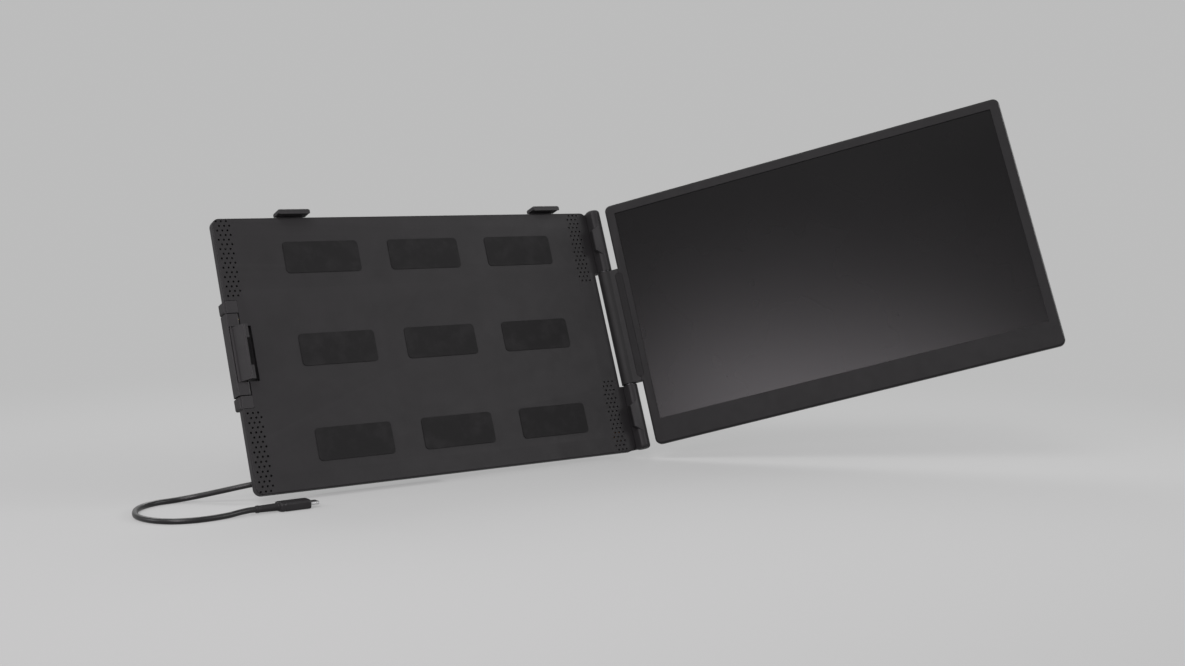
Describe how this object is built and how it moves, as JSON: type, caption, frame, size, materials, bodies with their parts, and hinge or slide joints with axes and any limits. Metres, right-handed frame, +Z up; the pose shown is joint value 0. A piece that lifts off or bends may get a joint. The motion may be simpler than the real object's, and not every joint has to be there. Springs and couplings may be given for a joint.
{
  "type": "laptop screen extender",
  "caption": "Portable second screen on a hinge post, with a thin housing that hooks and clamps onto a laptop's lid, and a USB-C cable.",
  "frame": {"origin": "middle of the laptop lid's rear face, on the front of the centre lid pad", "axes": "+X to the user's right along the lid, +Y away from the user, +Z up; the housing leans back 20.3 degrees with the open lid"},
  "size_m": [0.6423, 0.3111, 0.282],
  "materials": {
    "housing_plastic": "fine matte texture, charcoal",
    "panel_plastic": "fine matte texture, charcoal, perforated at its sides",
    "bezel_plastic": "smooth matte",
    "rubber": "matte black rubber",
    "steel": "brushed",
    "plated_steel": "bright plated",
    "bronze": "sintered bronze",
    "display_glass": "anti-glare display surface, dark",
    "light_guide": "white light guide in a pale frame",
    "circuit_board": "green solder mask",
    "ribbon_film": "amber polyimide film",
    "cable_jacket": "semi-gloss black jacket",
    "plug_plastic": "satin black moulding",
    "screw_black": "black oxide",
    "felt": "black felt",
    "button_plastic": "satin"
  },
  "bodies": {
    "bracket": {"slab_tray": "housing_plastic", "slab_front_panel": "panel_plastic", "stiffener_sheet": "screw_black", "lid_pads": "rubber", "clamp_housing": "housing_plastic", "clamp_rod_bushes": "bronze", "clamp_springs": "plated_steel", "post_upper": "housing_plastic", "post_lower": "housing_plastic", "post_grip_pads": "rubber", "hinge_shaft_upper": "screw_black", "hinge_shaft_lower": "screw_black", "friction_washers": "screw_black", "hub_cover": "housing_plastic", "hub_board": "circuit_board", "usb_socket": "plated_steel", "signal_ribbon": "ribbon_film", "hook_drag_pads": "felt", "housing_screws": "screw_black", "usb_cable": "cable_jacket", "laptop_plug_body": "plug_plastic", "laptop_plug_shell": "plated_steel", "laptop_strain_relief": "cable_jacket", "device_plug_body": "plug_plastic", "device_plug_shell": "plated_steel", "device_strain_relief": "cable_jacket"},
    "left_clamp": {"clamp_sleeve": "housing_plastic", "clamp_rods": "plated_steel", "rod_collars": "steel", "jaw_pin": "plated_steel"},
    "jaw": {"clamp_jaw": "housing_plastic", "jaw_pads": "rubber"},
    "top_hook_left": {"top_hook_left": "housing_plastic", "top_hook_pad_left": "rubber"},
    "top_hook_right": {"top_hook_right": "housing_plastic", "top_hook_pad_right": "rubber"},
    "screen": {"screen_bezel": "bezel_plastic", "screen_back_cover": "housing_plastic", "lcd_panel": "display_glass", "backlight_unit": "light_guide", "display_board": "circuit_board", "hinge_knuckle": "housing_plastic", "hinge_bushes": "bronze", "knuckle_inlay": "bezel_plastic", "screen_screws": "screw_black", "button_board": "circuit_board"},
    "power_button": {"power_button": "button_plastic"},
    "plus_button": {"plus_button": "button_plastic"},
    "minus_button": {"minus_button": "button_plastic"}
  },
  "joints": [
    {"name": "screen_swing", "type": "hinge", "parent": "bracket", "child": "screen", "pos_m": [0.1614, -0.00234, 0.00087], "axis": [0, -0.3469, -0.9379], "range_deg": [-135, 122]},
    {"name": "clamp_slide", "type": "slide", "parent": "bracket", "child": "left_clamp", "axis": [-1, 0, 0], "range_m": [0, 0.035], "stiffness_N_per_m": 180, "springref_m": -0.012, "deforming": ["clamp_springs"]},
    {"name": "jaw_fold", "type": "hinge", "parent": "left_clamp", "child": "jaw", "pos_m": [-0.1634, 0.00281, -0.00104], "axis": [0, 0.3469, 0.9379], "range_deg": [0, 43]},
    {"name": "top_hook_left_slide", "type": "slide", "parent": "bracket", "child": "top_hook_left", "axis": [0, 0.3469, 0.9379], "range_m": [0, 0.015]},
    {"name": "top_hook_right_slide", "type": "slide", "parent": "bracket", "child": "top_hook_right", "axis": [0, 0.3469, 0.9379], "range_m": [0, 0.015]},
    {"name": "power_button_press", "type": "slide", "parent": "screen", "child": "power_button", "axis": [-0.7306, -0.6404, 0.2369], "range_m": [0, 0.0005], "stiffness_N_per_m": 900, "springref_m": -0.001},
    {"name": "plus_button_press", "type": "slide", "parent": "screen", "child": "plus_button", "axis": [-0.7306, -0.6404, 0.2369], "range_m": [0, 0.0005], "stiffness_N_per_m": 900, "springref_m": -0.001},
    {"name": "minus_button_press", "type": "slide", "parent": "screen", "child": "minus_button", "axis": [-0.7306, -0.6404, 0.2369], "range_m": [0, 0.0005], "stiffness_N_per_m": 900, "springref_m": -0.001}
  ]
}
